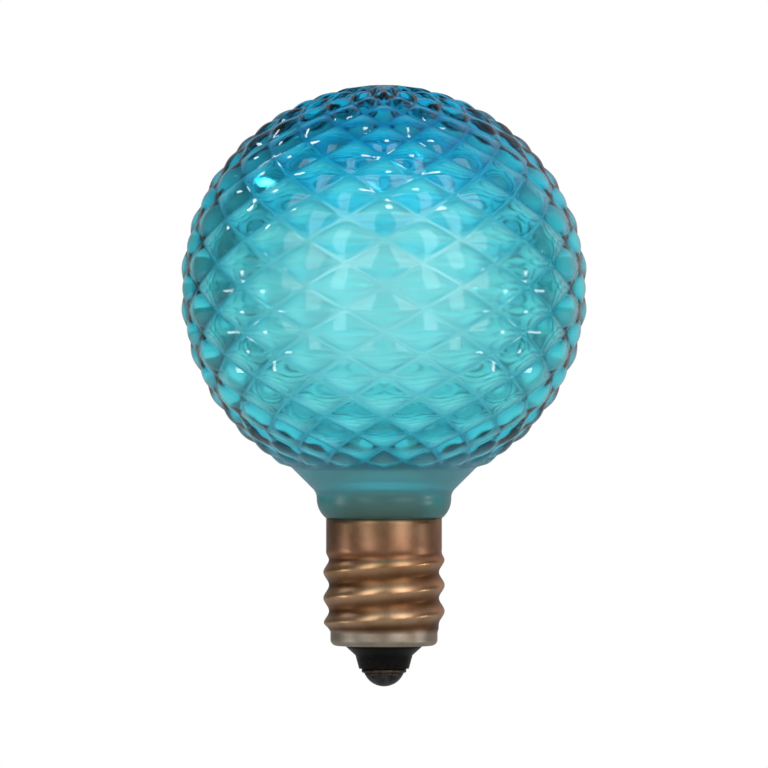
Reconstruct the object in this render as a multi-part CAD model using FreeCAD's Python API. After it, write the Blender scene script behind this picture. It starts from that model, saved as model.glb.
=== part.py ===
import FreeCAD, Part
import math
import os

from FreeCAD import Vector

os.makedirs("parts", exist_ok=True)

# A faceted globe bulb for a light string, on a small screw base.
# Millimetres, +Z up along the bulb's axis, z = 0 at the tip of the centre contact,
# -Y towards the viewer.

# Globe: one hollow see-through moulding with its neck and spigot
globe_diameter = 40.0
globe_wall = 1.6
facets_round = 16
row_step_deg = 6.6             # from a row of facets to the next, half a facet high
lowest_row = -10
highest_row = 12
groove_depth = 0.5             # where two grooves cross
neck_overhang = 0.925          # the neck's wall stands this far outside the shell's rim
neck_edge_inset = 0.9          # the neck's lower edge curves in to the shell's rim
neck_edge_height = 1.9
neck_length = 2.0              # from the shell's rim to where the neck begins to flare
neck_flare_radius = 1.2        # the bend into the flare
neck_flare_deg = 45.0
neck_flare_reach = 3.07        # the flare meets the ball this far outside the neck's wall
neck_flare_root = 0.8          # and runs on this far into the ball's wall
spigot_length = 2.2            # below the rim of the screw shell
spigot_wall = 0.8
bore_mouth_radius = 0.8

# Screw shell: thin brass, rolled to the candelabra lamp thread (11.9 mm, 10 turns to the inch)
thread_diameter = 11.9
thread_length = 8.3
thread_pitch = 2.54
thread_depth = 0.55
crest_height = 9.3             # a crest passes the front at this height
sheet = 0.25
lip_length = 3.0               # plain rim above the thread
foot_step = 0.7                # the foot is this much smaller in radius than the crests
foot_length = 1.2              # plain ring under the thread
foot_bend_radius = 0.6
foot_hole_diameter = 7.8
fade_length = 1.2              # the thread runs out over this height at each end
sections_per_turn = 10

# Insulator, centre contact and the solder on it
solder_height = 1.35
solder_diameter = 3.9
contact_thickness = 0.4
contact_diameter = 4.4
contact_bevel = 0.1
shank_diameter = 2.1
shank_wall = 0.3
shank_board_gap = 0.25         # between the shank and the driver board above it
nose_height = 2.25             # insulator below the shell
nose_tip_diameter = 4.9
nose_waist_diameter = 5.6
nose_waist_height = 1.3        # above the contact disc
disc_thickness = 1.75          # insulator inside the shell
board_slot_depth = 1.0
fit_gap = 0.05                 # between a loose piece and its seat

# Boards
driver_side_gap = 0.18         # between the driver board's edges and the neck's bore
driver_thickness = 0.8
driver_offset = 1.2            # driver board's middle plane behind the axis
driver_top_margin = 0.5        # board above the capacitor
led_board_thickness = 0.8
led_board_gap = 0.1            # round the disc, in the neck's bore
led_count = 3
led_length = 2.0
led_width = 1.4
led_height = 0.7
led_inset = 1.6                # from the round board's edge to a diode's middle
led_wall = 0.3
led_cup_depth = 0.4
led_cup_slope = 0.12
link_pin_diameter = 0.5
link_pin_inset = 0.8           # from the driver board's side edges
link_pin_lap = 2.2             # length soldered against the driver board
link_pin_stand = 0.3           # above the disc

# Parts on the driver board's lower half, placed from the board's lower edge
live_hole_height = 1.75
part_gap = 0.1                 # between a solder joint and the part above it
rectifier_size = (4.4, 1.35, 3.4)
limit_resistor_size = (1.6, 0.55, 3.2)
limit_resistor_height = 4.7
limit_resistor_side = 2.2
fuse_diameter = 1.9
fuse_length = 3.8
fuse_side = 2.3
fuse_hole_height = 1.75
fuse_lead_reach = 1.0          # from the fuse's ends to its leads' holes
fuse_waist_share = 0.85        # its body between the caps, of its diameter
fuse_cap_share = 0.25          # each cap, of its length
fuse_edge_share = 0.2          # each cap's bevelled edge, of its radius

# Parts on its upper half, placed from the bottom of the shell's plain lip
capacitor_diameter = 4.0
capacitor_length = 5.0
capacitor_rise = 0.4
capacitor_lead_spacing = 1.8
capacitor_lead_drop = 0.75     # from the capacitor's end to its leads' holes
capacitor_edge_radius = 0.25
capacitor_groove_height = 0.85 # the crimp round it, above its lower end
regulator_size = (2.9, 1.3, 2.5)
regulator_rise = 1.7
sense_resistor_size = (1.6, 0.45, 0.8)
sense_resistor_rise = 4.95

# Leads, terminals and solder joints
terminal_thickness = 0.2
terminal_length = 0.5
terminal_width = 0.55
moulded_edge_share = 0.15      # a moulded part's bevelled edges, of its thickness
component_lead_diameter = 0.4
bend_radius = 0.5
lead_end = 0.35                # what sticks out of a hole
joint_diameter = 0.9
joint_height = 0.45

# Wires
live_diameter = 0.5
live_in_solder = 0.4
neutral_diameter = 0.3
neutral_tail = 1.3             # trapped between the spigot and the shell
cement_gap = 0.01
cut_margin = 1.0               # how far a cutting shape runs past the face it cuts

# Radii that follow from the sizes above
globe_radius = globe_diameter / 2
crest_swing = thread_depth / 2
mean_radius = thread_diameter / 2 - crest_swing
foot_radius = thread_diameter / 2 - foot_step
lip_bore_radius = mean_radius - sheet
spigot_radius = lip_bore_radius - neutral_diameter - 2 * cement_gap
neutral_radius = spigot_radius + cement_gap + neutral_diameter / 2
neck_radius = mean_radius + neck_overhang
neck_bore_radius = spigot_radius - spigot_wall
led_board_radius = neck_bore_radius - led_board_gap
led_circle_radius = led_board_radius - led_inset

# Heights, from the tip up
contact_top = solder_height + contact_thickness
shell_bottom = contact_top + nose_height
foot_top = shell_bottom + foot_length
lip_bottom = foot_top + thread_length
shell_top = lip_bottom + lip_length
spigot_bottom = shell_top - spigot_length
flare_bottom = shell_top + neck_length
flare_turn = math.radians(neck_flare_deg)
flare_start = (
    neck_radius + neck_flare_radius * (1 - math.cos(flare_turn)),
    flare_bottom + neck_flare_radius * math.sin(flare_turn),
)
flare_radius = neck_radius + neck_flare_reach
flare_height = flare_start[1] + (flare_radius - flare_start[0]) / math.tan(flare_turn)
globe_centre = flare_height + math.sqrt((globe_radius - groove_depth) ** 2 - flare_radius ** 2)
disc_top = shell_bottom + sheet + disc_thickness
driver_bottom = disc_top - board_slot_depth
shank_top = driver_bottom - shank_board_gap
live_hole = driver_bottom + live_hole_height
rectifier_middle = live_hole + joint_diameter / 2 + part_gap + rectifier_size[2] / 2
limit_resistor_middle = driver_bottom + limit_resistor_height
fuse_low_hole = driver_bottom + fuse_hole_height
fuse_bottom = fuse_low_hole + fuse_lead_reach
fuse_high_hole = fuse_bottom + fuse_length + fuse_lead_reach
capacitor_bottom = lip_bottom + capacitor_rise
capacitor_hole = capacitor_bottom - capacitor_lead_drop
capacitor_top = capacitor_bottom + capacitor_length
neutral_hole = spigot_bottom - bend_radius - cement_gap
regulator_middle = lip_bottom + regulator_rise + regulator_size[2] / 2
sense_resistor_middle = lip_bottom + sense_resistor_rise + sense_resistor_size[2] / 2
driver_top = capacitor_top + driver_top_margin
led_board_top = driver_top + led_board_thickness

# The driver board's faces and width: it stands behind the axis, in the neck's bore
driver_front = driver_offset - driver_thickness / 2
driver_back = driver_offset + driver_thickness / 2
driver_width = 2 * (math.sqrt(neck_bore_radius ** 2 - driver_back ** 2) - driver_side_gap)
capacitor_sides = (-capacitor_lead_spacing / 2, capacitor_lead_spacing / 2)

# Every drilled hole in the driver board: place across, height, lead diameter
lead_holes = [
    (0, live_hole, live_diameter),
    (0, neutral_hole, neutral_diameter),
    (-fuse_side, fuse_low_hole, component_lead_diameter),
    (-fuse_side, fuse_high_hole, component_lead_diameter),
    (capacitor_sides[0], capacitor_hole, component_lead_diameter),
    (capacitor_sides[1], capacitor_hole, component_lead_diameter),
]


def box(size, centre):
    """A block of the given size about its centre."""
    corner = Vector(*centre) - Vector(*size) / 2
    return Part.makeBox(size[0], size[1], size[2], corner)


def cylinder(radius, bottom, top, x=0.0, y=0.0):
    """An upright cylinder."""
    return Part.makeCylinder(radius, top - bottom, Vector(x, y, bottom))


def turned(*edges):
    """A solid of revolution about the bulb's axis, from the edges of its half section."""
    profile = Part.Face(Part.Wire(Part.__sortEdges__(list(edges))))
    return profile.revolve(Vector(0, 0, 0), Vector(0, 0, 1), 360)


def section_line(start, end):
    """A straight edge of a half section, from radius and height pairs."""
    return Part.LineSegment(Vector(start[0], 0, start[1]), Vector(end[0], 0, end[1])).toShape()


def section_arc(centre, radius, from_deg, to_deg):
    """A round edge of a half section."""
    points = []
    for angle in (from_deg, (from_deg + to_deg) / 2, to_deg):
        turn = math.radians(angle)
        points.append(Vector(centre[0] + radius * math.cos(turn), 0, centre[1] + radius * math.sin(turn)))
    return Part.Arc(*points).toShape()


def turned_polygon(*points):
    """A solid of revolution from the corners of its half section."""
    return turned(*[section_line(a, b) for a, b in zip(points, points[1:] + points[:1])])


def bent_wire(points, diameter, radius):
    """A round wire along straight runs, with one tangent arc at each bend."""
    points = [Vector(*point) for point in points]
    edges = []
    start = points[0]
    for before, corner, after in zip(points, points[1:], points[2:]):
        inward = (before - corner).normalize()
        outward = (after - corner).normalize()
        half_turn = inward.getAngle(outward) / 2
        setback = radius / math.tan(half_turn)
        first = corner + inward * setback
        last = corner + outward * setback
        centre = corner + (inward + outward).normalize() * (radius / math.sin(half_turn))
        middle = centre + (corner - centre).normalize() * radius
        edges.append(Part.LineSegment(start, first).toShape())
        edges.append(Part.Arc(first, middle, last).toShape())
        start = last
    edges.append(Part.LineSegment(start, points[-1]).toShape())
    path = Part.Wire(edges)
    profile = Part.Wire(Part.makeCircle(diameter / 2, points[0], points[1] - points[0]))
    return path.makePipeShell([profile], True, False)


def lattice_point(column, row):
    """A corner of the facet lattice: a pyramid's tip, or the crossing of two grooves.

    The grooves run out round the small flat at the crown.
    """
    at_crossing = (column + row) % 2 == 0 and row <= highest_row
    radius = globe_radius - groove_depth if at_crossing else globe_radius
    longitude = math.radians(column * 180.0 / facets_round - 90.0)
    latitude = math.radians(row * row_step_deg)
    return Vector(
        radius * math.cos(latitude) * math.cos(longitude),
        radius * math.cos(latitude) * math.sin(longitude),
        globe_centre + radius * math.sin(latitude),
    )


def flat_face(*corners):
    """A flat face between its corners."""
    return Part.Face(Part.makePolygon(list(corners) + [corners[0]]))


def faceted_ball():
    """The globe's outside: rows of low four-sided pyramids between two families of grooves."""
    faces = []
    columns = range(2 * facets_round)
    for row in range(lowest_row, highest_row + 1):
        for column in columns:
            if (column + row) % 2 == 0:
                continue
            tip = lattice_point(column, row)
            left = lattice_point(column - 1, row)
            right = lattice_point(column + 1, row)
            above = lattice_point(column, row + 1)
            below = lattice_point(column, row - 1)
            faces.append(flat_face(tip, above, left))
            faces.append(flat_face(tip, left, below))
            faces.append(flat_face(tip, below, right))
            faces.append(flat_face(tip, right, above))
    for last_row, end_row in ((highest_row, highest_row + 1), (lowest_row, lowest_row - 1)):
        for column in columns:
            if (column + last_row) % 2 == 0:
                crossing = lattice_point(column, last_row)
                left = lattice_point(column - 1, end_row)
                right = lattice_point(column + 1, end_row)
                faces.append(flat_face(crossing, left, right))
        end_ring = [lattice_point(column, end_row) for column in columns if (column + end_row) % 2 == 0]
        faces.append(flat_face(*end_ring))
    shell = Part.makeShell(faces)
    shell.sewShape()
    return Part.makeSolid(shell)


def make_globe():
    """The globe: faceted ball, flared neck curving in at its lower edge, and the spigot in the shell.

    The neck runs up into the ball before the inside is hollowed out, so the two are always one.
    """
    edge_start = neck_radius - neck_edge_inset
    edge_radius = (neck_edge_height ** 2 + neck_edge_inset ** 2) / (2 * neck_edge_inset)
    edge_top = shell_top + neck_edge_height
    edge_deg = math.degrees(math.asin(neck_edge_height / edge_radius))
    flare_end = (
        flare_radius + neck_flare_root * math.sin(flare_turn),
        flare_height + neck_flare_root * math.cos(flare_turn),
    )
    neck = turned(
        section_line((0, spigot_bottom), (spigot_radius, spigot_bottom)),
        section_line((spigot_radius, spigot_bottom), (spigot_radius, shell_top)),
        section_line((spigot_radius, shell_top), (edge_start, shell_top)),
        section_arc((neck_radius - edge_radius, edge_top), edge_radius, -edge_deg, 0),
        section_line((neck_radius, edge_top), (neck_radius, flare_bottom)),
        section_arc(
            (neck_radius + neck_flare_radius, flare_bottom), neck_flare_radius, 180, 180 - neck_flare_deg
        ),
        section_line(flare_start, flare_end),
        section_line(flare_end, (0, globe_centre)),
        section_line((0, globe_centre), (0, spigot_bottom)),
    )
    inner_radius = globe_radius - globe_wall
    hollow = Part.makeSphere(inner_radius, Vector(0, 0, globe_centre))
    mouth_height = globe_centre - math.sqrt(inner_radius ** 2 - neck_bore_radius ** 2)
    hollow = hollow.fuse(cylinder(neck_bore_radius, spigot_bottom - cut_margin, globe_centre))
    hollow = hollow.removeSplitter()
    mouth = [edge for edge in hollow.Edges if is_level_at(edge, mouth_height)]
    hollow = hollow.makeFillet(bore_mouth_radius, mouth)
    return faceted_ball().fuse(neck).cut(hollow)


def is_level_at(edge, height):
    """Whether an edge lies level at a height."""
    bounds = edge.BoundBox
    return max(abs(bounds.ZMin - height), abs(bounds.ZMax - height)) < cement_gap


def smooth_step(value):
    """Rises from 0 to 1 with level ends."""
    value = min(max(value, 0.0), 1.0)
    return value * value * (3 - 2 * value)


def thread_skin(inset):
    """The rolled thread's skin: level rings whose centres wind round the axis once per pitch."""
    rings = []
    steps = math.ceil((shell_top - foot_top) / thread_pitch * sections_per_turn)
    for step in range(steps + 1):
        height = foot_top + (shell_top - foot_top) * step / steps
        run_in = smooth_step((height - foot_top) / fade_length)
        run_out = smooth_step((lip_bottom - height) / fade_length)
        swing = crest_swing * run_in * run_out
        turn = 2 * math.pi * (height - crest_height) / thread_pitch - math.pi / 2
        centre = Vector(swing * math.cos(turn), swing * math.sin(turn), height)
        radius = foot_radius + (mean_radius - foot_radius) * run_in - inset
        rings.append(Part.Wire(Part.makeCircle(radius, centre, Vector(0, 0, 1))))
    return Part.makeLoft(rings, True, False)


def make_screw_shell():
    """The screw shell: a threaded sleeve whose foot turns in under the insulator."""
    inner_bend = foot_bend_radius - sheet
    bend_centre = (foot_radius - foot_bend_radius, shell_bottom + foot_bend_radius)
    hole_radius = foot_hole_diameter / 2
    foot = turned(
        section_line((foot_radius, foot_top), (foot_radius, bend_centre[1])),
        section_arc(bend_centre, foot_bend_radius, 0, -90),
        section_line((bend_centre[0], shell_bottom), (hole_radius, shell_bottom)),
        section_line((hole_radius, shell_bottom), (hole_radius, shell_bottom + sheet)),
        section_line((hole_radius, shell_bottom + sheet), (bend_centre[0], shell_bottom + sheet)),
        section_arc(bend_centre, inner_bend, -90, 0),
        section_line((foot_radius - sheet, bend_centre[1]), (foot_radius - sheet, foot_top)),
        section_line((foot_radius - sheet, foot_top), (foot_radius, foot_top)),
    )
    sleeve = thread_skin(0.0).cut(thread_skin(sheet))
    return sleeve.fuse(foot)


def make_insulator():
    """The moulded insulator: a disc in the shell's foot, and a black nose under it."""
    disc_radius = foot_radius - sheet - fit_gap
    edge = foot_bend_radius - sheet
    seat = shell_bottom + sheet
    hole_radius = foot_hole_diameter / 2
    body = turned_polygon(
        (0, contact_top),
        (nose_tip_diameter / 2, contact_top),
        (nose_waist_diameter / 2, contact_top + nose_waist_height),
        (hole_radius - fit_gap, shell_bottom),
        (hole_radius - fit_gap, seat),
        (disc_radius - edge, seat),
        (disc_radius, seat + edge),
        (disc_radius, disc_top),
        (0, disc_top),
    )
    bore = cylinder(shank_diameter / 2 + fit_gap, 0, disc_top + cut_margin)
    slot = box(
        (driver_width + 2 * fit_gap, driver_thickness + 2 * fit_gap, 2 * board_slot_depth),
        (0, driver_offset, disc_top),
    )
    return body.cut(bore).cut(slot)


def make_contact():
    """The centre contact: a pressed disc with a hollow shank up the insulator's bore."""
    shank_radius = shank_diameter / 2
    disc = cylinder(contact_diameter / 2, solder_height, contact_top)
    disc = disc.makeChamfer(contact_bevel, disc.Edges)
    shank = cylinder(shank_radius, solder_height, shank_top)
    return disc.fuse(shank).cut(cylinder(shank_radius - shank_wall, 0, shank_top + cut_margin))


def make_contact_solder():
    """The drop of solder that closes the contact round the live wire."""
    base_radius = solder_diameter / 2
    ball_radius = (base_radius ** 2 + solder_height ** 2) / (2 * solder_height)
    ball = Part.makeSphere(ball_radius, Vector(0, 0, ball_radius))
    drop = ball.common(cylinder(base_radius + cut_margin, 0, solder_height))
    plug = cylinder(shank_diameter / 2 - shank_wall, solder_height, contact_top + contact_thickness)
    return drop.fuse(plug).cut(make_live_lead())


def make_live_lead():
    """The wire from the centre contact to the driver board."""
    route = [
        (0, 0, solder_height - live_in_solder),
        (0, 0, live_hole),
        (0, driver_back + lead_end, live_hole),
    ]
    return bent_wire(route, live_diameter, bend_radius)


def make_neutral_lead():
    """The bare wire that leaves the driver board's back and is trapped between spigot and shell."""
    tail_top = neutral_hole + bend_radius + neutral_tail
    route = [
        (0, driver_front, neutral_hole),
        (0, neutral_radius, neutral_hole),
        (0, neutral_radius, tail_top),
    ]
    return bent_wire(route, neutral_diameter, bend_radius)


def make_cement():
    """The cement between the spigot and the shell's rim, with a channel for the neutral wire."""
    ring = cylinder(lip_bore_radius - cement_gap, spigot_bottom, shell_top)
    ring = ring.cut(cylinder(spigot_radius + cement_gap, 0, shell_top + cut_margin))
    channel = box(
        (neutral_diameter + 2 * cement_gap, neutral_diameter * 2, 2 * spigot_length + cut_margin),
        (0, neutral_radius, shell_top),
    )
    return ring.cut(channel)


def make_driver_board():
    """The driver board, standing in the insulator's slot, with its drilled holes."""
    length = driver_top - driver_bottom
    board = box((driver_width, driver_thickness, length), (0, driver_offset, driver_bottom + length / 2))
    for side, height, diameter in lead_holes:
        start = Vector(side, driver_front, height)
        board = board.cut(Part.makeCylinder(diameter / 2 + fit_gap, driver_thickness, start, Vector(0, 1, 0)))
    return board


def make_board_joints():
    """The solder joints of the leads on the driver board's back, one small cone each."""
    joints = []
    for side, height, diameter in lead_holes:
        start = Vector(side, driver_back, height)
        cone = Part.makeCone(joint_diameter / 2, diameter / 2, joint_height, start, Vector(0, 1, 0))
        lead = Part.makeCylinder(diameter / 2, joint_height, start, Vector(0, 1, 0))
        joints.append(cone.cut(lead))
    return Part.makeCompound(joints)


def make_led_board():
    """The round board that closes the neck and carries the light-emitting diodes."""
    board = cylinder(led_board_radius, driver_top, led_board_top)
    for side in (-1, 1):
        pin_x, pin_y = link_pin_place(side)
        hole_radius = link_pin_diameter / 2 + fit_gap
        board = board.cut(cylinder(hole_radius, driver_top, led_board_top, pin_x, pin_y))
    return board


def link_pin_place(side):
    """Where a link pin stands: against the driver board's front."""
    return side * (driver_width / 2 - link_pin_inset), driver_front - link_pin_diameter / 2


def make_link_pin(side):
    """A pin that joins the two boards."""
    pin_x, pin_y = link_pin_place(side)
    pin_bottom = driver_top - link_pin_lap
    pin_top = led_board_top + link_pin_stand
    return cylinder(link_pin_diameter / 2, pin_bottom, pin_top, pin_x, pin_y)


def placed_led(solid, index):
    """Turns a piece of a diode from the back of the round board to its own place."""
    solid.rotate(Vector(0, 0, 0), Vector(0, 0, 1), 360.0 / led_count * index)
    return solid


def led_cup():
    """The tapered cup in a diode's package, which the phosphor fills."""
    top = led_board_top + led_height
    across = led_length / 2 - led_wall
    deep = led_width / 2 - led_wall
    wires = []
    for level, grow in ((top - led_cup_depth, -led_cup_slope), (top, 0.0)):
        corners = [
            Vector(side_x * (across + grow), led_circle_radius + side_y * (deep + grow), level)
            for side_x, side_y in ((-1, -1), (1, -1), (1, 1), (-1, 1))
        ]
        wires.append(Part.makePolygon(corners + [corners[0]]))
    return Part.makeLoft(wires, True, True)


def make_led_package(index):
    """A diode's white package."""
    middle = led_board_top + led_height / 2
    body = box((led_length, led_width, led_height), (0, led_circle_radius, middle))
    return placed_led(body.cut(led_cup()), index)


def make_led_phosphor(index):
    """The yellow fill of a diode's package."""
    return placed_led(led_cup(), index)


def surface_part(size, middle, side, facing, terminals):
    """A moulded part on a face of the driver board, with flat terminals at its ends."""
    face = driver_back if facing > 0 else driver_front
    solid = box(size, (side, face + facing * size[1] / 2, middle))
    solid = solid.makeChamfer(size[1] * moulded_edge_share, solid.Edges)
    for end, places in terminals:
        for place in places:
            centre_height = middle + end * (size[2] + terminal_length - terminal_thickness) / 2
            flat = (terminal_width, terminal_thickness, terminal_length + terminal_thickness)
            tab = box(flat, (side + place, face + facing * terminal_thickness / 2, centre_height))
            solid = solid.fuse(tab)
    return solid


def make_fuse_resistor():
    """The axial fuse resistor, lying along the board's front with both leads bent through it."""
    axis_y = driver_front - fuse_diameter / 2
    radius = fuse_diameter / 2
    waist = radius * fuse_waist_share
    cap = fuse_length * fuse_cap_share
    edge = radius * fuse_edge_share
    body = turned_polygon(
        (0, 0), (radius - edge, 0), (radius, edge), (radius, cap),
        (waist, cap + edge), (waist, fuse_length - cap - edge),
        (radius, fuse_length - cap), (radius, fuse_length - edge), (radius - edge, fuse_length),
        (0, fuse_length),
    )
    body.translate(Vector(-fuse_side, axis_y, fuse_bottom))
    end_y = driver_back + lead_end
    route = [
        (-fuse_side, end_y, fuse_low_hole),
        (-fuse_side, axis_y, fuse_low_hole),
        (-fuse_side, axis_y, fuse_high_hole),
        (-fuse_side, end_y, fuse_high_hole),
    ]
    return body.fuse(bent_wire(route, component_lead_diameter, bend_radius))


def make_capacitor():
    """The smoothing capacitor, lying against the board's front, its two leads bent into it."""
    radius = capacitor_diameter / 2
    axis_y = driver_front - fit_gap - radius
    bottom = capacitor_bottom
    edge = capacitor_edge_radius
    groove = bottom + capacitor_groove_height
    body = turned_polygon(
        (0, bottom), (radius - edge, bottom), (radius, bottom + edge), (radius, groove - edge),
        (radius - edge / 2, groove), (radius, groove + edge),
        (radius, capacitor_top - edge), (radius - edge, capacitor_top), (0, capacitor_top),
    )
    body.translate(Vector(0, axis_y, 0))
    for side in capacitor_sides:
        route = [
            (side, axis_y, bottom + edge),
            (side, axis_y, capacitor_hole),
            (side, driver_back + lead_end, capacitor_hole),
        ]
        body = body.fuse(bent_wire(route, component_lead_diameter, bend_radius))
    return body


quarter = rectifier_size[0] / 4
third = regulator_size[0] / 3
pieces = {
    "globe": make_globe(),
    "screw_shell": make_screw_shell(),
    "base_insulator": make_insulator(),
    "centre_contact": make_contact(),
    "contact_solder": make_contact_solder(),
    "base_cement": make_cement(),
    "live_lead": make_live_lead(),
    "neutral_lead": make_neutral_lead(),
    "driver_board": make_driver_board(),
    "board_joints": make_board_joints(),
    "led_board": make_led_board(),
    "link_pin_left": make_link_pin(-1),
    "link_pin_right": make_link_pin(1),
    "bridge_rectifier": surface_part(
        rectifier_size, rectifier_middle, 0, 1, ((-1, (-quarter, quarter)), (1, (-quarter, quarter)))
    ),
    "current_regulator": surface_part(
        regulator_size, regulator_middle, 0, 1, ((-1, (-third, third)), (1, (0,)))
    ),
    "sense_resistor": surface_part(sense_resistor_size, sense_resistor_middle, 0, 1, ()),
    "limit_resistor": surface_part(limit_resistor_size, limit_resistor_middle, limit_resistor_side, -1, ()),
    "fuse_resistor": make_fuse_resistor(),
    "smoothing_capacitor": make_capacitor(),
}
for index in range(led_count):
    pieces[f"led_package_{index + 1}"] = make_led_package(index)
    pieces[f"led_phosphor_{index + 1}"] = make_led_phosphor(index)

for name, shape in pieces.items():
    shape.exportStep(f"parts/{name}.step")
    print(name, len(shape.Solids), shape.isValid(), round(shape.Volume, 3))
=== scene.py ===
import math

import bmesh
import bpy
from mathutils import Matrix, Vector


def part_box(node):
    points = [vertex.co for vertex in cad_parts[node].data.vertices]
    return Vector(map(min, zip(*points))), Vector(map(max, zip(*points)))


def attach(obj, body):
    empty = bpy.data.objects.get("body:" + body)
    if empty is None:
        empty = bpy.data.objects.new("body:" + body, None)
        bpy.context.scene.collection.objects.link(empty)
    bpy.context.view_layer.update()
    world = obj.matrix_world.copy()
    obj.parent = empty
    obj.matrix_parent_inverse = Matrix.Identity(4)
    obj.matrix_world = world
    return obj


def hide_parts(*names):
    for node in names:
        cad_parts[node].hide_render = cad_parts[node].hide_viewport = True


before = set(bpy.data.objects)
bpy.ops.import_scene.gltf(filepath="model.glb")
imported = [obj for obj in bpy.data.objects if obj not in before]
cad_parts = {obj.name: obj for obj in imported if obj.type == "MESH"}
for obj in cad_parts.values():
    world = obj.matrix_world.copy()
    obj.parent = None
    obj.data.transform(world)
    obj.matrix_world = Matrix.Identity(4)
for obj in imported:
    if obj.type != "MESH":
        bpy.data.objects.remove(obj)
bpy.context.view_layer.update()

MM = 0.001

# Insulator
# The black disc that closes the lamp base from below, and its nose. It is moulded in one, of hard
# black plastic with a low sheen, and the shell's foot is turned in under it.


def new_finish(name):
    """A new material: its node tree, its shader and its output."""
    finish = bpy.data.materials.new(name)
    finish.use_nodes = True
    tree = finish.node_tree
    return finish, tree, tree.nodes["Principled BSDF"], tree.nodes["Material Output"]


def place(tree):
    """A point's own place on the bulb, as a vector and as its three coordinates."""
    where = tree.nodes.new("ShaderNodeTexCoord").outputs["Object"]
    axes = tree.nodes.new("ShaderNodeSeparateXYZ")
    tree.links.new(where, axes.inputs["Vector"])
    return where, axes.outputs


def span(tree, value, low, high, to_low=0.0, to_high=1.0):
    """A value's share of the way from low to high, as a value from to_low to to_high."""
    node = tree.nodes.new("ShaderNodeMapRange")
    node.inputs["From Min"].default_value = low
    node.inputs["From Max"].default_value = high
    node.inputs["To Min"].default_value = to_low
    node.inputs["To Max"].default_value = to_high
    tree.links.new(value, node.inputs["Value"])
    return node.outputs["Result"]


def grain(tree, spots_per_metre, detail=4.0, stretch=(1, 1, 1)):
    """A fine irregular grain, from 0 to 1."""
    mapping = tree.nodes.new("ShaderNodeMapping")
    mapping.inputs["Scale"].default_value = stretch
    noise = tree.nodes.new("ShaderNodeTexNoise")
    noise.inputs["Scale"].default_value = spots_per_metre
    noise.inputs["Detail"].default_value = detail
    tree.links.new(place(tree)[0], mapping.inputs["Vector"])
    tree.links.new(mapping.outputs["Vector"], noise.inputs["Vector"])
    return noise.outputs["Fac"]


def color_steps(tree, factor, steps, interpolation="LINEAR"):
    """A colour that follows a factor through steps of place and colour."""
    ramp = tree.nodes.new("ShaderNodeValToRGB")
    ramp.color_ramp.interpolation = interpolation
    while len(ramp.color_ramp.elements) < len(steps):
        ramp.color_ramp.elements.new(0.5)
    for element, (position, color) in zip(ramp.color_ramp.elements, steps):
        element.position = position
        element.color = (*color, 1.0)
    tree.links.new(factor, ramp.inputs["Fac"])
    return ramp.outputs["Color"]


def mottle(tree, texture, dark, light):
    """A colour that wanders between a darker and a lighter shade with a grain."""
    return color_steps(tree, texture, ((0.3, dark), (0.7, light)))


def paint(tree, shader, color):
    """Gives a shader its colour."""
    tree.links.new(color, shader.inputs["Base Color"])


def blend(tree, mode, share, first, second):
    """Two colours mixed, by a share that is a number or another node's output."""
    mix = tree.nodes.new("ShaderNodeMix")
    mix.data_type = "RGBA"
    mix.blend_type = mode
    if isinstance(share, float):
        mix.inputs["Factor"].default_value = share
    else:
        tree.links.new(share, mix.inputs["Factor"])
    tree.links.new(first, mix.inputs["A"])
    tree.links.new(second, mix.inputs["B"])
    return mix.outputs["Result"]


def relief(tree, shader, height, strength, depth):
    """Fine relief on a shader from a height."""
    bump = tree.nodes.new("ShaderNodeBump")
    bump.inputs["Strength"].default_value = strength
    bump.inputs["Distance"].default_value = depth
    tree.links.new(height, bump.inputs["Height"])
    tree.links.new(bump.outputs["Normal"], shader.inputs["Normal"])


weld_distance = 0.0005 * MM


def finished_copy(node, name, finish, sharp_angle=35):
    """A node's own mesh, merged, shaded smooth between its true edges and finished."""
    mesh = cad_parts[node].data.copy()
    mesh.name = name
    work = bmesh.new()
    work.from_mesh(mesh)
    bmesh.ops.remove_doubles(work, verts=work.verts, dist=weld_distance)
    work.to_mesh(mesh)
    work.free()
    mesh.shade_smooth()
    mesh.set_sharp_from_angle(angle=math.radians(sharp_angle))
    mesh.materials.clear()
    mesh.materials.append(finish)
    piece = bpy.data.objects.new(name, mesh)
    bpy.context.scene.collection.objects.link(piece)
    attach(piece, "root")
    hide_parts(node)
    return piece


black_moulding, tree, shader, _ = new_finish("black_moulding")
flow = grain(tree, 2600, 5)
black = color_steps(tree, flow, ((0.35, (0.002, 0.0018, 0.0018)), (0.75, (0.007, 0.006, 0.005))))
paint(tree, shader, black)
tree.links.new(span(tree, flow, 0.3, 0.7, 0.26, 0.40), shader.inputs["Roughness"])
shader.inputs["Specular IOR Level"].default_value = 0.10
relief(tree, shader, flow, 0.1, 0.03 * MM)
finished_copy("base_insulator", "moulded_insulator", black_moulding)

# Centre contact and its solder
# A pressed brass disc with a hollow shank up the insulator, painted very dark brown as painted
# shade, closed from below by a drop of solder that the lampholder's spring has dulled.

brass_in_painted_shade, tree, shader, _ = new_finish("brass_in_painted_shade")
shader.inputs["Metallic"].default_value = 1.0
# Painted shade: the brass is given a very dark brown in place of the shade it sits in.
paint(tree, shader, mottle(tree, grain(tree, 1500), (0.035, 0.026, 0.017), (0.13, 0.10, 0.062)))
shader.inputs["Roughness"].default_value = 0.42
finished_copy("centre_contact", "pressed_contact", brass_in_painted_shade)

dull_solder, tree, shader, _ = new_finish("dull_solder")
shader.inputs["Metallic"].default_value = 1.0
dross = grain(tree, 1900, 5)
paint(tree, shader, mottle(tree, dross, (0.020, 0.020, 0.021), (0.095, 0.092, 0.090)))
shader.inputs["Roughness"].default_value = 0.40
relief(tree, shader, dross, 0.35, 0.08 * MM)
finished_copy("contact_solder", "solder_drop", dull_solder, 50)
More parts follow.
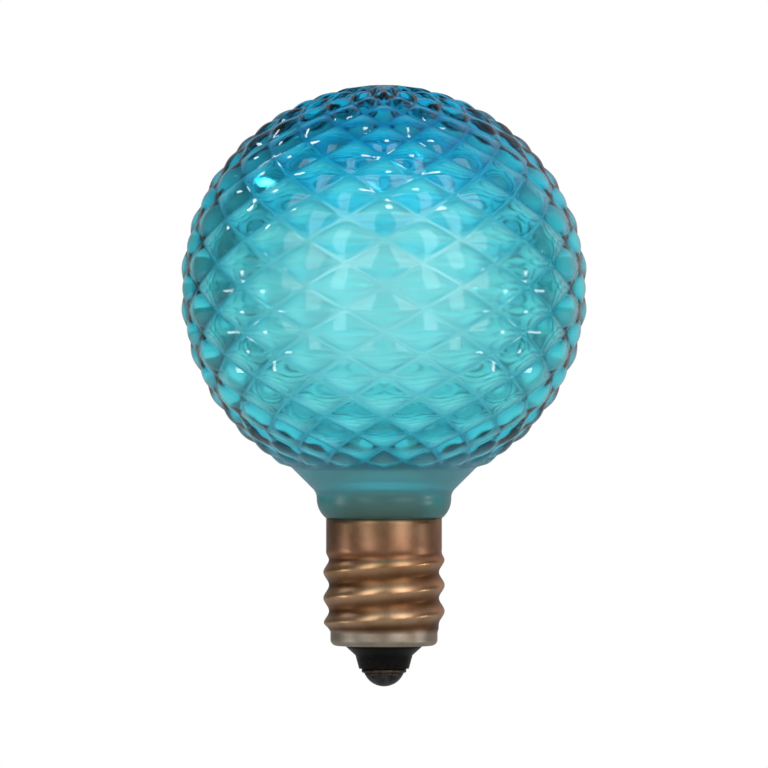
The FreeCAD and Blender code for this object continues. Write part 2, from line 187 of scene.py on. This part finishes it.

# Screw shell
# The lamp base's outer contact: thin brass sheet rolled to a coarse round thread, its rim cemented
# round the spigot and its foot turned in under the insulator. Handling and lampholders keep the
# crests bright, and the roots between them are darker brown, partly patina and partly painted
# shade.

root_radius = 5.40 * MM
crest_radius = 5.95 * MM
shell_bottom = 4.0 * MM
foot_top = 5.2 * MM
foot_blend = 0.5 * MM
shell_top = 16.5 * MM


def plain(tree, color):
    """One colour, as a node's output."""
    swatch = tree.nodes.new("ShaderNodeRGB")
    swatch.outputs["Color"].default_value = (*color, 1.0)
    return swatch.outputs["Color"]


worn_brass, tree, shader, _ = new_finish("worn_brass")
shader.inputs["Metallic"].default_value = 1.0
where, axes = place(tree)
flat = tree.nodes.new("ShaderNodeVectorMath")
flat.operation = "MULTIPLY"
flat.inputs[1].default_value = (1, 1, 0)
tree.links.new(where, flat.inputs[0])
from_axis = tree.nodes.new("ShaderNodeVectorMath")
from_axis.operation = "LENGTH"
tree.links.new(flat.outputs["Vector"], from_axis.inputs[0])
# Painted shade: the thread's roots are darker than its crests, partly brown patina and partly
# painted shade.
wear_and_root_shade = span(tree, from_axis.outputs["Value"], root_radius, crest_radius)
brass = color_steps(
    tree,
    wear_and_root_shade,
    (
        (0.0, (0.20, 0.095, 0.044)),
        (0.30, (0.32, 0.165, 0.082)),
        (0.52, (0.42, 0.25, 0.150)),
        (0.95, (0.62, 0.38, 0.220)),
    ),
)
# Painted light: the brass is tinted by height as a painted colour cast, bluish at the foot, warm
# then pinkish towards the lip, and greyish green and darker as painted shade at the rim under the
# globe.
painted_colour_cast = color_steps(
    tree,
    span(tree, axes["Z"], shell_bottom, shell_top),
    (
        (0.05, (0.86, 0.97, 1.0)),
        (0.30, (1.0, 1.0, 1.0)),
        (0.62, (1.0, 0.98, 0.90)),
        (0.74, (0.95, 0.84, 0.84)),
        (1.0, (0.84, 0.88, 0.84)),
    ),
)
stain_steps = ((0.32, (0.72, 0.68, 0.64)), (0.60, (1.0, 1.0, 1.0)))
stains = color_steps(tree, grain(tree, 420, 3), stain_steps)
# Painted highlight: the foot is painted a lighter, pinkish brass in place of the bright band of
# light it catches.
on_foot = span(tree, axes["Z"], foot_top + foot_blend, foot_top)
brass = blend(tree, "MIX", on_foot, brass, plain(tree, (0.50, 0.385, 0.30)))
brass = blend(tree, "MULTIPLY", 1.0, brass, painted_colour_cast)
brass = blend(tree, "MULTIPLY", 1.0, brass, stains)
paint(tree, shader, brass)
tree.links.new(span(tree, wear_and_root_shade, 0.0, 1.0, 0.44, 0.33), shader.inputs["Roughness"])
scuffs = grain(tree, 2600, 4, (1, 1, 0.35))
relief(tree, shader, scuffs, 0.10, 0.04 * MM)
finished_copy("screw_shell", "rolled_screw_shell", worn_brass, 50)

# Cement
# The ring of heat-set cement that holds the globe's spigot in the shell's rim, sandy and matt.


def finish_node(node, finish):
    """Gives a node that keeps its own mesh its finish."""
    for node_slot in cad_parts[node].material_slots:
        node_slot.material = finish


cured_cement, tree, shader, _ = new_finish("cured_cement")
sand = grain(tree, 3500, 6)
paint(tree, shader, mottle(tree, sand, (0.48, 0.43, 0.33), (0.74, 0.70, 0.59)))
shader.inputs["Roughness"].default_value = 0.9
relief(tree, shader, sand, 0.6, 0.08 * MM)
finish_node("base_cement", cured_cement)

# Leads and link pins
# Tinned copper: the lead from the centre contact, the one trapped between spigot and shell, and the
# two pins that join the boards.

tinned_copper, tree, shader, _ = new_finish("tinned_copper")
shader.inputs["Metallic"].default_value = 1.0
tinning = grain(tree, 1600, 4, (1, 1, 0.3))
paint(tree, shader, mottle(tree, tinning, (0.52, 0.47, 0.42), (0.74, 0.72, 0.69)))
tree.links.new(span(tree, tinning, 0.0, 1.0, 0.22, 0.42), shader.inputs["Roughness"])
for node in ("live_lead", "neutral_lead", "link_pin_left", "link_pin_right"):
    finish_node(node, tinned_copper)

# Driver board
# A glass-fibre board that stands in the insulator's slot. Its green lacquer shows the weave, and
# the copper tracks under it show a little lighter. The leads' solder joints are on it.

green_lacquer, tree, shader, _ = new_finish("green_lacquer")
where = place(tree)[0]
weave = tree.nodes.new("ShaderNodeTexBrick")
weave.inputs["Scale"].default_value = 700.0
weave.inputs["Color1"].default_value = (0.010, 0.120, 0.050, 1.0)
weave.inputs["Color2"].default_value = (0.014, 0.150, 0.064, 1.0)
weave.inputs["Mortar"].default_value = (0.008, 0.090, 0.038, 1.0)
turn_up = tree.nodes.new("ShaderNodeMapping")
turn_up.inputs["Rotation"].default_value = (math.radians(90), 0, 0)
tree.links.new(where, turn_up.inputs["Vector"])
tree.links.new(turn_up.outputs["Vector"], weave.inputs["Vector"])
tracks = tree.nodes.new("ShaderNodeTexVoronoi")
tracks.distance = "CHEBYCHEV"
tracks.inputs["Scale"].default_value = 420.0
tracks.inputs["Randomness"].default_value = 0.35
tree.links.new(where, tracks.inputs["Vector"])
copper_below = color_steps(
    tree, tracks.outputs["Distance"], ((0.40, (1.0, 1.0, 1.0)), (0.46, (1.7, 1.6, 1.3)))
)
paint(tree, shader, blend(tree, "MULTIPLY", 1.0, weave.outputs["Color"], copper_below))
shader.inputs["Roughness"].default_value = 0.35
relief(tree, shader, tracks.outputs["Distance"], 0.2, 0.03 * MM)
finish_node("driver_board", green_lacquer)

bright_solder, tree, shader, _ = new_finish("bright_solder")
shader.inputs["Metallic"].default_value = 1.0
paint(tree, shader, mottle(tree, grain(tree, 2200), (0.40, 0.40, 0.41), (0.60, 0.60, 0.60)))
shader.inputs["Roughness"].default_value = 0.28
finish_node("board_joints", bright_solder)

# Parts on the driver board's back and side
# The rectifier and the current regulator are black moulded packages with flat tinned terminals at
# top and bottom. The two chip resistors have black film between tinned ends.


def finish_ended_part(node, axis, end_length, body_colors, end_colors):
    """Gives a part a moulded body and metal ends of a stated length, along one of its axes."""
    finish, tree, shader, _ = new_finish(f"{node}_finish")
    lowest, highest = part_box(node)
    number = "XYZ".index(axis)
    along = span(tree, place(tree)[1][axis], lowest[number], highest[number])
    share = end_length / (highest[number] - lowest[number])
    steps = ((0.0, (1, 1, 1)), (share, (0, 0, 0)), (1.0 - share, (1, 1, 1)))
    is_end = color_steps(tree, along, steps, "CONSTANT")
    texture = grain(tree, 3200, 5)
    body = mottle(tree, texture, *body_colors)
    ends = mottle(tree, texture, *end_colors)
    paint(tree, shader, blend(tree, "MIX", is_end, body, ends))
    tree.links.new(is_end, shader.inputs["Metallic"])
    tree.links.new(span(tree, is_end, 0.0, 1.0, 0.55, 0.30), shader.inputs["Roughness"])
    relief(tree, shader, texture, 0.2, 0.02 * MM)
    finish_node(node, finish)


epoxy_black = ((0.012, 0.012, 0.013), (0.030, 0.030, 0.032))
film_black = ((0.006, 0.006, 0.007), (0.016, 0.016, 0.018))
tin = ((0.50, 0.49, 0.47), (0.70, 0.69, 0.66))
terminal_length = 0.5 * MM
chip_end_length = 0.3 * MM
finish_ended_part("bridge_rectifier", "Z", terminal_length, epoxy_black, tin)
finish_ended_part("current_regulator", "Z", terminal_length, epoxy_black, tin)
finish_ended_part("sense_resistor", "X", chip_end_length, film_black, tin)
finish_ended_part("limit_resistor", "Z", chip_end_length, film_black, tin)

# Fuse resistor
# An axial resistor with a lacquered body, four plain colour bands round it, and tinned leads bent
# into the board.

fuse_low, fuse_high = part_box("fuse_resistor")
fuse_body_length = 3.8 * MM
fuse_lead_share = 0.5 - fuse_body_length / (fuse_high[2] - fuse_low[2]) / 2
lacquer_blue = (0.10, 0.24, 0.27)
tin_gray = (0.58, 0.57, 0.55)
band_width = 0.05
band_steps = [(0.0, tin_gray), (fuse_lead_share, lacquer_blue)]
for band_place, band_color in (
    (0.27, (0.09, 0.03, 0.012)),
    (0.37, (0.005, 0.005, 0.005)),
    (0.47, (0.005, 0.005, 0.005)),
    (0.68, (0.50, 0.32, 0.08)),
):
    band_steps.append((band_place, band_color))
    band_steps.append((band_place + band_width, lacquer_blue))
band_steps.append((1.0 - fuse_lead_share, tin_gray))

banded_lacquer, tree, shader, _ = new_finish("banded_lacquer")
along = span(tree, place(tree)[1]["Z"], fuse_low[2], fuse_high[2])
bands = color_steps(tree, along, band_steps, "CONSTANT")
haze = mottle(tree, grain(tree, 2400), (0.85, 0.85, 0.85), (1.0, 1.0, 1.0))
paint(tree, shader, blend(tree, "MULTIPLY", 1.0, bands, haze))
lead_steps = ((0.0, (1, 1, 1)), (fuse_lead_share, (0, 0, 0)), (1.0 - fuse_lead_share, (1, 1, 1)))
tree.links.new(color_steps(tree, along, lead_steps, "CONSTANT"), shader.inputs["Metallic"])
shader.inputs["Roughness"].default_value = 0.3
finish_node("fuse_resistor", banded_lacquer)

# Smoothing capacitor
# A can in a shrunk dark green sleeve, with bare metal at its top and two tinned leads below, which
# are bent into the driver board. It shows faintly through the neck.

can_low, can_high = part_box("smoothing_capacitor")
can_bottom = 13.9 * MM
can_top = 18.9 * MM
sleeve_lap = 0.12 * MM

sleeve, tree, shader, _ = new_finish("sleeve")
height = span(tree, place(tree)[1]["Z"], can_low[2], can_high[2])
bottom_share = (can_bottom - can_low[2]) / (can_high[2] - can_low[2])
top_share = (can_top - sleeve_lap - can_low[2]) / (can_high[2] - can_low[2])
is_metal = color_steps(
    tree, height, ((0.0, (1, 1, 1)), (bottom_share, (0, 0, 0)), (top_share, (1, 1, 1))), "CONSTANT"
)
film = grain(tree, 900, 3)
green = mottle(tree, film, (0.012, 0.150, 0.080), (0.022, 0.220, 0.120))
metal = mottle(tree, film, (0.56, 0.56, 0.57), (0.72, 0.72, 0.72))
paint(tree, shader, blend(tree, "MIX", is_metal, green, metal))
tree.links.new(is_metal, shader.inputs["Metallic"])
shader.inputs["Roughness"].default_value = 0.32
finished_copy("smoothing_capacitor", "sleeved_capacitor", sleeve)

# Round board and diodes
# A round board with white lacquer closes the neck. Three light-emitting diodes stand on it: white
# moulded packages, each with a shallow cup of yellow phosphor in clear silicone.

white_lacquer, tree, shader, _ = new_finish("white_lacquer")
paint(tree, shader, mottle(tree, grain(tree, 1200), (0.74, 0.76, 0.75), (0.84, 0.85, 0.84)))
shader.inputs["Roughness"].default_value = 0.4
finish_node("led_board", white_lacquer)

white_moulding, tree, shader, _ = new_finish("white_moulding")
paint(tree, shader, mottle(tree, grain(tree, 4000), (0.80, 0.80, 0.77), (0.88, 0.88, 0.85)))
shader.inputs["Roughness"].default_value = 0.5

phosphor, tree, shader, _ = new_finish("phosphor")
paint(tree, shader, mottle(tree, grain(tree, 6000, 6), (0.66, 0.50, 0.09), (0.82, 0.68, 0.18)))
shader.inputs["Roughness"].default_value = 0.35
shader.inputs["Coat Weight"].default_value = 0.6
for number in (1, 2, 3):
    finish_node(f"led_package_{number}", white_moulding)
    finish_node(f"led_phosphor_{number}", phosphor)

# Globe
# One hollow moulding of clear tinted plastic: low diamond pillows between two families of grooves
# that cross, a neck that flares into the ball, and a spigot down in the shell. The pillows are
# polished in the mould and a little domed, and the neck is left a little dull.

globe_centre = Vector((0, 0, 39.0 * MM))
groove_radius = 19.5 * MM
tip_radius = 20.0 * MM
groove_band = 1.0 * MM
row_step = math.radians(6.6)
filled_groove_radius = 19.54 * MM
pillow_height = 0.43 * MM
pillow_cuts = 7
pillow_edge_angle = 26
corner_reach = 0.004 * MM
row_reach = 0.02
globe_bottom = 14.3 * MM
globe_top = 59.0 * MM
dull_below = 21.0 * MM
polished_above = 24.0 * MM

tinted_plastic, tree, shader, output = new_finish("tinted_plastic")
shader.inputs["IOR"].default_value = 1.5
where, axes = place(tree)
dullness = span(tree, axes["Z"], dull_below, polished_above, 0.30, 0.085)
tree.links.new(dullness, shader.inputs["Roughness"])
clearness = span(tree, axes["Z"], dull_below, polished_above, 0.74, 1.0)
tree.links.new(clearness, shader.inputs["Transmission Weight"])
# Painted light and shade: the colour changes with height, dark and greenish at the neck as painted
# shade, nearly clear round the middle, and deeper blue at the crown as a painted colour cast.
tint_and_painted_light = color_steps(
    tree,
    span(tree, axes["Z"], globe_bottom, globe_top),
    (
        (0.0, (0.16, 0.20, 0.14)),
        (0.05, (0.16, 0.26, 0.20)),
        (0.09, (0.17, 0.44, 0.42)),
        (0.12, (0.20, 0.62, 0.66)),
        (0.17, (0.34, 0.88, 0.95)),
        (0.30, (1.0, 0.91, 0.90)),
        (0.66, (1.0, 0.91, 0.91)),
        (0.84, (0.30, 0.82, 0.98)),
        (1.0, (0.13, 0.64, 0.98)),
    ),
)
# Painted shade: the colour is darker where the wall is looked through at a slant, towards the rim,
# and darker still in the grooves.
slant = tree.nodes.new("ShaderNodeLayerWeight").outputs["Facing"]
painted_rim_shade = color_steps(
    tree,
    slant,
    (
        (0.0, (1.0, 1.0, 1.0)),
        (0.20, (0.88, 0.98, 0.98)),
        (0.38, (0.78, 0.96, 0.97)),
        (0.75, (0.52, 0.90, 0.96)),
    ),
)
tint_and_painted_light = blend(tree, "MULTIPLY", 1.0, tint_and_painted_light, painted_rim_shade)
from_centre = tree.nodes.new("ShaderNodeVectorMath")
from_centre.operation = "DISTANCE"
from_centre.inputs[1].default_value = globe_centre
tree.links.new(where, from_centre.inputs[0])
# Painted shade: the grooves are darkened, most where they are seen at a slant.
in_groove = color_steps(
    tree,
    span(tree, from_centre.outputs["Value"], tip_radius - groove_band, tip_radius),
    (
        (0.46, (0.0, 0.0, 0.0)),
        (0.52, (1.0, 1.0, 1.0)),
        (0.66, (1.0, 1.0, 1.0)),
        (0.88, (0.0, 0.0, 0.0)),
    ),
)
at_a_slant = color_steps(tree, slant, ((0.05, (0.12, 0.12, 0.12)), (0.26, (1.0, 1.0, 1.0))))
groove_share = blend(tree, "MULTIPLY", 1.0, in_groove, at_a_slant)
painted_groove_shade = plain(tree, (0.24, 0.56, 0.68))
paint(tree, shader, blend(tree, "MULTIPLY", groove_share, tint_and_painted_light, painted_groove_shade))
tint = tree.nodes.new("ShaderNodeVolumeAbsorption")
tint.inputs["Color"].default_value = (0.06, 0.93, 0.955, 1.0)
tint.inputs["Density"].default_value = 600.0
tree.links.new(tint.outputs["Volume"], output.inputs["Volume"])

globe = finished_copy("globe", "faceted_globe", tinted_plastic)

# Each pillow's four flat sides are divided and swollen into one low dome between its grooves.
work = bmesh.new()
work.from_mesh(globe.data)
rise = work.verts.layers.float.new("rise")
side = work.verts.layers.float.new("side")
corners = set()
for vert in work.verts:
    out = vert.co - globe_centre
    row = math.asin(max(-1.0, min(1.0, out.z / out.length))) / row_step
    if abs(row - round(row)) > row_reach:
        continue
    if abs(out.length - tip_radius) < corner_reach:
        vert[rise] = 1.0
        corners.add(vert)
    elif abs(out.length - groove_radius) < corner_reach:
        vert[side] = 1.0 if round(row) % 2 else -1.0
        corners.add(vert)
pillow_sides = [
    face
    for face in work.faces
    if len(face.verts) == 3
    and all(vert in corners for vert in face.verts)
    and sum(vert[rise] for vert in face.verts) == 1.0
]
bmesh.ops.subdivide_edges(
    work,
    edges=list({edge for face in pillow_sides for edge in face.edges}),
    cuts=pillow_cuts,
    use_grid_fill=True,
)
for vert in work.verts:
    if vert[rise] == 0.0 and vert[side] == 0.0:
        continue
    out = vert.co - globe_centre
    swell = (1 - (1 - vert[rise]) ** 2) * (1 - vert[side] ** 2)
    vert.co = globe_centre + out.normalized() * (filled_groove_radius + pillow_height * swell)
bmesh.ops.triangulate(work, faces=[face for face in work.faces if len(face.verts) > 4])
work.to_mesh(globe.data)
work.free()
globe.data.shade_smooth()
globe.data.set_sharp_from_angle(angle=math.radians(pillow_edge_angle))

# Stage
# A pale round floor well under the bulb, out of the front view, and plain soft studio light in a
# pale room: two tall strips in front, and a small lamp at each side, one behind and one above.

floor_height = -150 * MM
floor_radius = 1.2
work = bmesh.new()
bmesh.ops.create_circle(work, cap_ends=True, segments=96, radius=floor_radius)
bmesh.ops.translate(work, verts=work.verts, vec=(0, 0, floor_height))
floor_mesh = bpy.data.meshes.new("pale_floor")
work.to_mesh(floor_mesh)
work.free()
floor = bpy.data.objects.new("pale_floor", floor_mesh)
bpy.context.scene.collection.objects.link(floor)
floor_paint, tree, shader, output = new_finish("floor_paint")
pale = ((0.2, (0.80, 0.80, 0.80)), (0.8, (0.84, 0.84, 0.84)))
paint(tree, shader, color_steps(tree, grain(tree, 40, 3), pale))
shader.inputs["Roughness"].default_value = 0.9
path = tree.nodes.new("ShaderNodeLightPath")


def choose(tree, share, first, second):
    """The second shader where the share is 1, and the first where it is 0."""
    mix = tree.nodes.new("ShaderNodeMixShader")
    tree.links.new(share, mix.inputs["Fac"])
    tree.links.new(first, mix.inputs[1])
    tree.links.new(second, mix.inputs[2])
    return mix.outputs["Shader"]


def glow(tree, level):
    """A plain grey light of one level."""
    emission = tree.nodes.new("ShaderNodeEmission")
    emission.inputs["Color"].default_value = (level, level, level, 1.0)
    return emission.outputs["Emission"]


mirrored_level = 0.42
seen_through_level = 0.95
look = shader.outputs["BSDF"]
look = choose(tree, path.outputs["Is Glossy Ray"], look, glow(tree, mirrored_level))
look = choose(tree, path.outputs["Is Transmission Ray"], look, glow(tree, seen_through_level))
tree.links.new(look, output.inputs["Surface"])
floor_mesh.materials.append(floor_paint)

world = bpy.data.worlds.new("pale_room")
bpy.context.scene.world = world
world.use_nodes = True
tree = world.node_tree
path = tree.nodes.new("ShaderNodeLightPath")
toward = tree.nodes.new("ShaderNodeTexCoord").outputs["Generated"]
axes = tree.nodes.new("ShaderNodeSeparateXYZ")
tree.links.new(toward, axes.inputs["Vector"])


def along_room(tree, axis, steps):
    """A colour that changes through the room along one axis."""
    return color_steps(tree, span(tree, axes.outputs[axis], -1.0, 1.0), steps)


def backdrop(tree, color):
    """A background of one colour, or of a node's colour."""
    background = tree.nodes.new("ShaderNodeBackground")
    if isinstance(color, tuple):
        background.inputs["Color"].default_value = (*color, 1.0)
    else:
        tree.links.new(color, background.inputs["Color"])
    return background.outputs["Background"]


# The room is dimmer high up and low down, and what the metal and the glass show of it differs.
sweep = along_room(
    tree,
    "Z",
    (
        (0.0, (0.60, 0.60, 0.61)),
        (0.25, (1.0, 1.0, 1.0)),
        (0.75, (1.0, 1.0, 1.0)),
        (0.90, (0.56, 0.57, 0.59)),
        (1.0, (0.42, 0.43, 0.45)),
    ),
)
behind = along_room(tree, "Y", ((0.84, (0.14, 0.14, 0.14)), (0.97, (0.32, 0.32, 0.32))))
warm_wall = along_room(
    tree,
    "X",
    (
        (0.50, (0.12, 0.12, 0.12)),
        (0.66, (0.46, 0.38, 0.36)),
        (0.86, (0.56, 0.46, 0.43)),
        (0.96, (0.14, 0.13, 0.13)),
    ),
)
mirrored_room = blend(tree, "LIGHTEN", 1.0, behind, warm_wall)
mirrored_room = backdrop(tree, blend(tree, "MULTIPLY", 1.0, sweep, mirrored_room))
across = along_room(
    tree,
    "X",
    (
        (0.08, (0.20, 0.21, 0.22)),
        (0.28, (0.46, 0.47, 0.48)),
        (0.40, (0.80, 0.81, 0.82)),
        (0.50, (1.0, 1.0, 1.0)),
        (0.68, (1.0, 1.0, 1.0)),
        (0.84, (0.62, 0.63, 0.64)),
        (0.96, (0.32, 0.33, 0.34)),
    ),
)
seen_through_room = backdrop(tree, blend(tree, "MULTIPLY", 1.0, sweep, across))
look = backdrop(tree, (0.45, 0.45, 0.45))
look = choose(tree, path.outputs["Is Glossy Ray"], look, mirrored_room)
look = choose(tree, path.outputs["Is Transmission Ray"], look, seen_through_room)
look = choose(tree, path.outputs["Is Camera Ray"], look, backdrop(tree, (1.0, 1.0, 1.0)))
tree.links.new(look, tree.nodes["World Output"].inputs["Surface"])

middle = Vector((0, 0, 29.65 * MM))


def add_softbox(name, turn, rise, distance, width, height, strength):
    """A soft lamp that faces the bulb.

    Its turn is in degrees to the right of the camera and its rise in degrees above it, and its
    distance and size are in metres.
    """
    lamp = bpy.data.lights.new(name, "AREA")
    lamp.shape = "RECTANGLE"
    lamp.size = width
    lamp.size_y = height
    lamp.energy = math.pi * strength * width * height
    holder = bpy.data.objects.new(name, lamp)
    bpy.context.scene.collection.objects.link(holder)
    turn = math.radians(turn)
    rise = math.radians(rise)
    level = math.cos(rise)
    away = Vector((math.sin(turn) * level, -math.cos(turn) * level, math.sin(rise)))
    holder.location = middle + away * distance
    holder.rotation_euler = (-away).to_track_quat("-Z", "Y").to_euler()


add_softbox("left_strip", -31, 24, 0.45, 0.20, 0.60, 2.15)
add_softbox("right_strip", 35, 24, 0.45, 0.20, 0.60, 2.35)
add_softbox("left_lamp", -82, -12, 0.50, 0.07, 0.07, 10.0)
add_softbox("right_lamp", 82, -12, 0.50, 0.07, 0.07, 10.0)
add_softbox("back_lamp", -114, 44, 0.50, 0.07, 0.07, 11.0)
add_softbox("top_lamp", 24, 72, 0.50, 0.08, 0.08, 14.0)

# Camera
# Level with the bulb and far off on a long lens, as the photograph was taken.

camera_lens = bpy.data.cameras.new("camera")
camera = bpy.data.objects.new("camera", camera_lens)
bpy.context.scene.collection.objects.link(camera)
bpy.context.scene.camera = camera
frame_width = 75.3 * MM
camera_distance = 0.75
camera_lens.sensor_width = 36.0
camera_lens.lens = camera_lens.sensor_width * camera_distance / frame_width
camera_lens.clip_start = 0.01
camera_lens.clip_end = 20.0
camera.location = (0, -camera_distance, middle.z)
camera.rotation_euler = (math.radians(90), 0, 0)
bpy.context.scene.view_settings.view_transform = "Standard"
